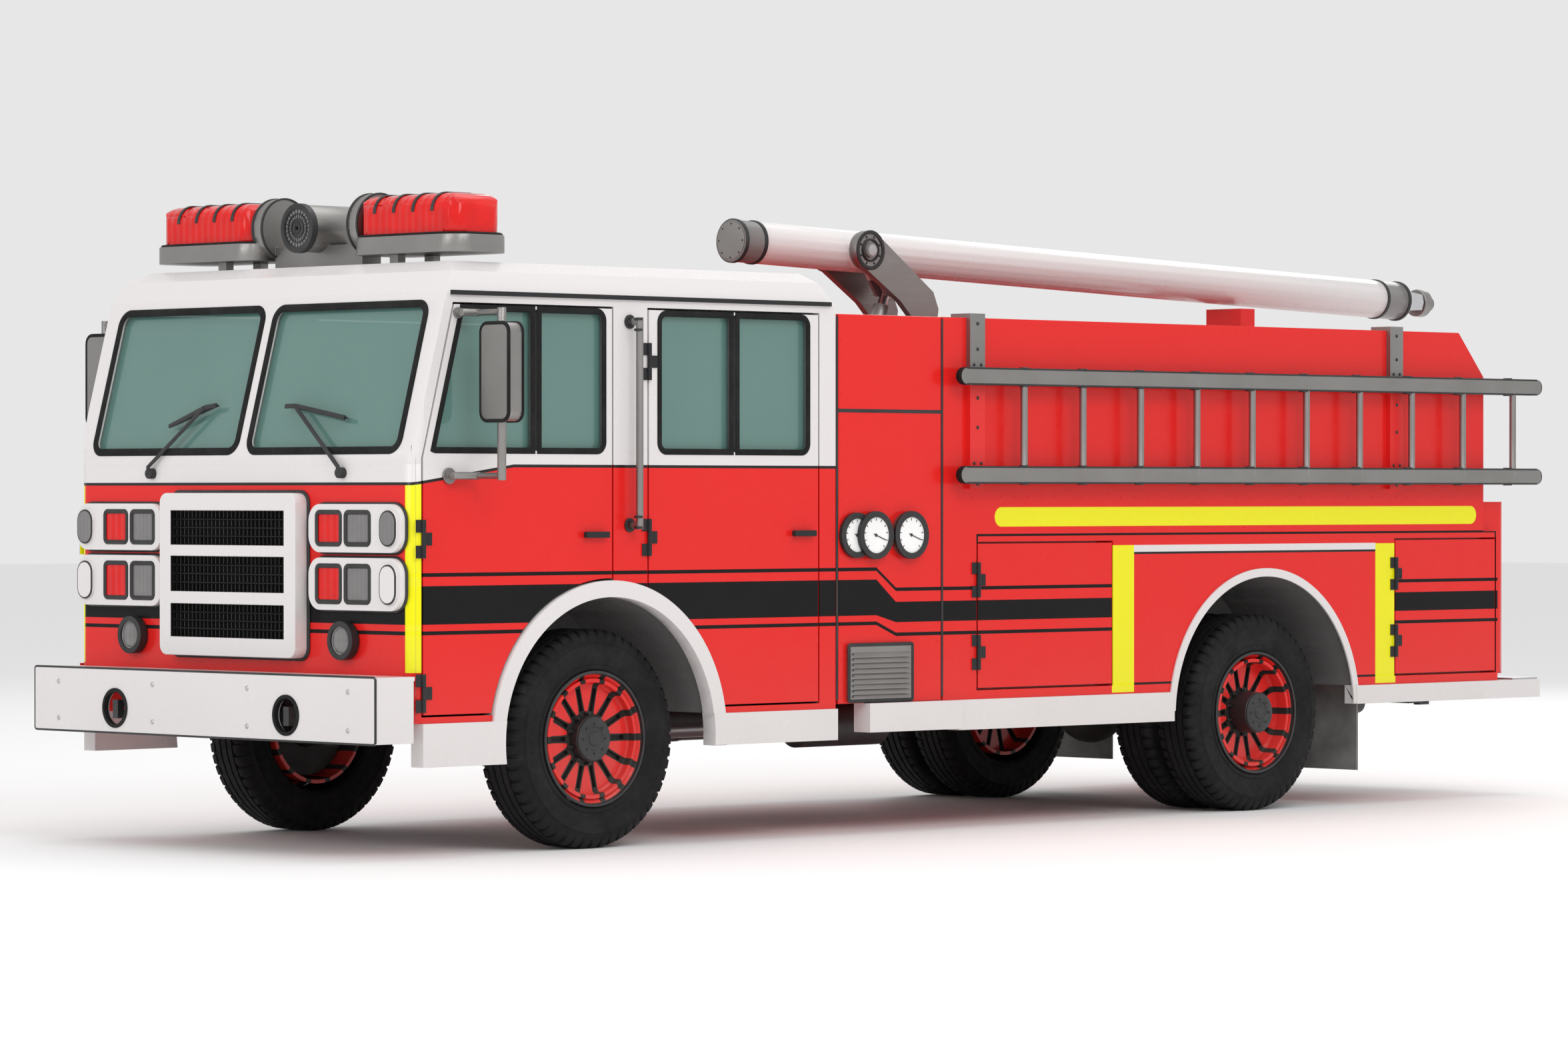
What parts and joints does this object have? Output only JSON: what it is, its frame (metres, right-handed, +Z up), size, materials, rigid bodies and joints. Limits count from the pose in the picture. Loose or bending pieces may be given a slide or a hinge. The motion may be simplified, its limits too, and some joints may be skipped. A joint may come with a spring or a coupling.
{
  "type": "fire engine",
  "caption": "Four-door custom-cab fire engine with pump house, hose body, side ladders, twin rear tyres and an elevating, telescoping water tower boom.",
  "frame": {"origin": "on the ground at the middle of the overall length and width", "axes": "+X to the front of the vehicle, +Y to its left, +Z up"},
  "size_m": [9.25, 3.2, 3.1599],
  "materials": {
    "red_paint": "gloss",
    "white_paint": "gloss",
    "black_metal": "satin",
    "grey_metal": "satin",
    "chrome_trim": "polished",
    "window_glass": "clear",
    "black_plastic": "matte",
    "seat_cover": "woven",
    "red_lens": "gloss",
    "steel_panel": "brushed",
    "tread_plate": "treaded",
    "black_rubber": "matte",
    "tyre": "matte",
    "wheel_red": "gloss",
    "steel_tube": "brushed"
  },
  "bodies": {
    "chassis": {"chassis_frame": "black_metal", "engine_block": "grey_metal", "front_bumper": "white_paint", "front_axle": "black_metal", "rear_axle": "black_metal", "fuel_tank": "black_metal", "cab_shell": "red_paint", "cab_roof": "white_paint", "windscreen": "window_glass", "grille": "chrome_trim", "headlamps": "chrome_trim", "dashboard": "black_plastic", "seats": "seat_cover", "light_bar": "grey_metal", "warning_lights": "red_lens", "grab_bars": "grey_metal", "pump_house": "red_paint", "pump_panel": "steel_panel", "body_shell": "red_paint", "tailboard": "tread_plate", "rub_rails": "white_paint", "mud_flaps": "black_rubber", "ladders": "grey_metal", "boom_pedestal": "grey_metal"},
    "front_door_left": {"front_door_left": "red_paint", "front_glass_left": "window_glass", "mirror_left": "grey_metal"},
    "rear_door_left": {"rear_door_left": "red_paint", "rear_glass_left": "window_glass"},
    "front_locker_door_left": {"front_locker_door_left": "red_paint"},
    "rear_locker_door_left": {"rear_locker_door_left": "red_paint"},
    "knuckle_left": {"knuckle_left": "black_metal"},
    "front_wheel_left": {"front_tyre_left": "tyre", "front_wheel_left": "wheel_red"},
    "rear_wheels_left": {"rear_tyres_left": "tyre", "rear_wheels_left": "wheel_red"},
    "front_door_right": {"front_door_right": "red_paint", "front_glass_right": "window_glass", "mirror_right": "grey_metal"},
    "rear_door_right": {"rear_door_right": "red_paint", "rear_glass_right": "window_glass"},
    "front_locker_door_right": {"front_locker_door_right": "red_paint"},
    "rear_locker_door_right": {"rear_locker_door_right": "red_paint"},
    "knuckle_right": {"knuckle_right": "black_metal"},
    "front_wheel_right": {"front_tyre_right": "tyre", "front_wheel_right": "wheel_red"},
    "rear_wheels_right": {"rear_tyres_right": "tyre", "rear_wheels_right": "wheel_red"},
    "turntable": {"turntable": "grey_metal"},
    "boom": {"boom": "white_paint"},
    "inner_boom": {"inner_boom": "steel_tube"},
    "nozzle": {"nozzle": "grey_metal"},
    "lift_cylinder": {"lift_cylinder": "grey_metal"},
    "lift_rod": {"lift_rod": "chrome_trim"}
  },
  "joints": [
    {"name": "front_door_left_hinge", "type": "hinge", "parent": "chassis", "child": "front_door_left", "pos_m": [4.315, 1.281, 1.6], "axis": [0, 0, -1], "range_deg": [0, 75]},
    {"name": "rear_door_left_hinge", "type": "hinge", "parent": "chassis", "child": "rear_door_left", "pos_m": [2.875, 1.281, 1.6], "axis": [0, 0, -1], "range_deg": [0, 80]},
    {"name": "front_locker_door_left_hinge", "type": "hinge", "parent": "chassis", "child": "front_locker_door_left", "pos_m": [0.57, 1.281, 1.085], "axis": [0, 0, -1], "range_deg": [0, 110]},
    {"name": "rear_locker_door_left_hinge", "type": "hinge", "parent": "chassis", "child": "rear_locker_door_left", "pos_m": [-2.77, 1.281, 1.085], "axis": [0, 0, -1], "range_deg": [0, 110]},
    {"name": "steering_left", "type": "hinge", "parent": "chassis", "child": "knuckle_left", "pos_m": [3.125, 0.82, 0.53], "axis": [0, 0, 1], "range_deg": [-35, 35]},
    {"name": "front_wheel_left_spin", "type": "hinge", "parent": "knuckle_left", "child": "front_wheel_left", "pos_m": [3.125, 1.03, 0.53], "axis": [0, 1, 0], "continuous": true},
    {"name": "rear_wheels_left_spin", "type": "hinge", "parent": "chassis", "child": "rear_wheels_left", "pos_m": [-1.675, 0.92, 0.53], "axis": [0, 1, 0], "continuous": true},
    {"name": "front_door_right_hinge", "type": "hinge", "parent": "chassis", "child": "front_door_right", "pos_m": [4.315, -1.281, 1.6], "axis": [0, 0, 1], "range_deg": [0, 75]},
    {"name": "rear_door_right_hinge", "type": "hinge", "parent": "chassis", "child": "rear_door_right", "pos_m": [2.875, -1.281, 1.6], "axis": [0, 0, 1], "range_deg": [0, 80]},
    {"name": "front_locker_door_right_hinge", "type": "hinge", "parent": "chassis", "child": "front_locker_door_right", "pos_m": [0.57, -1.281, 1.085], "axis": [0, 0, 1], "range_deg": [0, 110]},
    {"name": "rear_locker_door_right_hinge", "type": "hinge", "parent": "chassis", "child": "rear_locker_door_right", "pos_m": [-2.77, -1.281, 1.085], "axis": [0, 0, 1], "range_deg": [0, 110]},
    {"name": "steering_right", "type": "hinge", "parent": "chassis", "child": "knuckle_right", "pos_m": [3.125, -0.82, 0.53], "axis": [0, 0, 1], "range_deg": [-35, 35]},
    {"name": "front_wheel_right_spin", "type": "hinge", "parent": "knuckle_right", "child": "front_wheel_right", "pos_m": [3.125, -1.03, 0.53], "axis": [0, 1, 0], "continuous": true},
    {"name": "rear_wheels_right_spin", "type": "hinge", "parent": "chassis", "child": "rear_wheels_right", "pos_m": [-1.675, -0.92, 0.53], "axis": [0, 1, 0], "continuous": true},
    {"name": "turntable_slew", "type": "hinge", "parent": "chassis", "child": "turntable", "pos_m": [0.239, 0, 2.05], "axis": [0, 0, 1], "range_deg": [-90, 90]},
    {"name": "boom_lift", "type": "hinge", "parent": "turntable", "child": "boom", "pos_m": [0.239, 0, 3], "axis": [0, 1, 0], "range_deg": [0, 75]},
    {"name": "boom_extend", "type": "slide", "parent": "boom", "child": "inner_boom", "axis": [-0.9994, 0, -0.0349], "range_m": [0, 3.4]},
    {"name": "nozzle_tilt", "type": "hinge", "parent": "inner_boom", "child": "nozzle", "pos_m": [-4.43815, 0, 2.83667], "axis": [0, 1, 0], "range_deg": [-45, 45]},
    {"name": "lift_cylinder_pivot", "type": "hinge", "parent": "turntable", "child": "lift_cylinder", "pos_m": [0.189, 0, 2.15], "axis": [0, 1, 0], "range_deg": [0, 8]},
    {"name": "lift_rod_slide", "type": "slide", "parent": "lift_cylinder", "child": "lift_rod", "axis": [-0.3484, 0, 0.9373], "range_m": [0, 0.43]}
  ],
  "couplings": [
    {"joint": "steering_right", "follows": "steering_left", "ratio": 1},
    {"joint": "lift_cylinder_pivot", "follows": "boom_lift", "ratio": 0.095},
    {"joint": "lift_rod_slide", "follows": "boom_lift", "m_per_rad": 0.3175}
  ]
}
